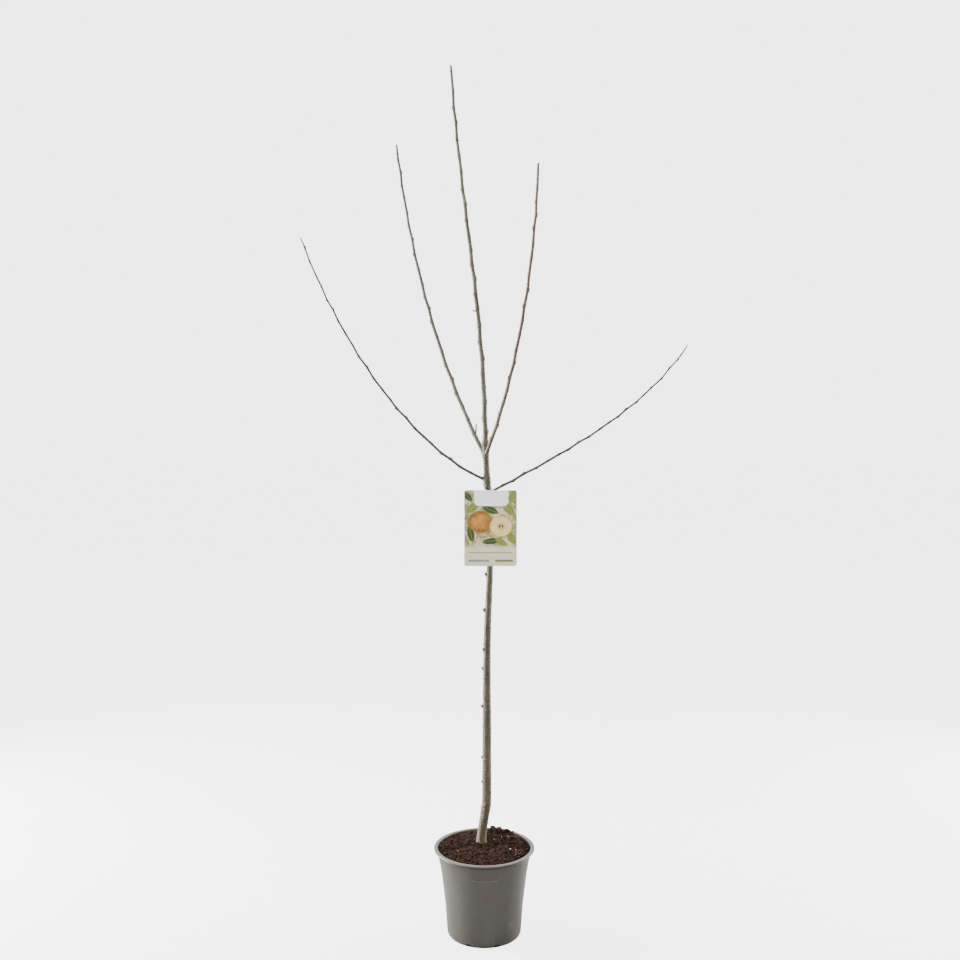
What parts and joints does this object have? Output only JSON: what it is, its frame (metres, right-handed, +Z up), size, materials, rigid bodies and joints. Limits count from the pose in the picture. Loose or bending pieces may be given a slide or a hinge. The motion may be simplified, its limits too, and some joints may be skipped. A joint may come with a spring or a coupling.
{
  "type": "potted apple tree",
  "caption": "Young bare-branched apple tree with a slim trunk and long unbranched shoots, standing in a round tapered nursery pot, with a picture card strapped to the trunk.",
  "frame": {"origin": "centre of the pot's flat underside, on the ground", "axes": "+Z up along the pot's axis, -Y towards the front where the label faces, +X to the right as seen from the front"},
  "size_m": [0.8345, 0.3722, 1.8752],
  "materials": {
    "pot_plastic": "taupe grey thin moulded plastic, satin",
    "compost": "dark brown bark and peat compost, rough",
    "trunk_bark": "olive grey-brown young bark with pale lenticels",
    "shoot_bark": "reddish and olive one-year bark with fine lenticels and buds",
    "label_card": "printed plastic card, slightly glossy",
    "strap_plastic": "white soft plastic"
  },
  "bodies": {
    "root": {"pot": "pot_plastic", "compost": "compost", "trunk": "trunk_bark", "label": "label_card", "label_strap": "strap_plastic", "leader": "shoot_bark", "bough_mid_left": "shoot_bark", "bough_right_upper": "shoot_bark", "bough_low_left": "shoot_bark", "bough_low_right": "shoot_bark"}
  },
  "joints": []
}
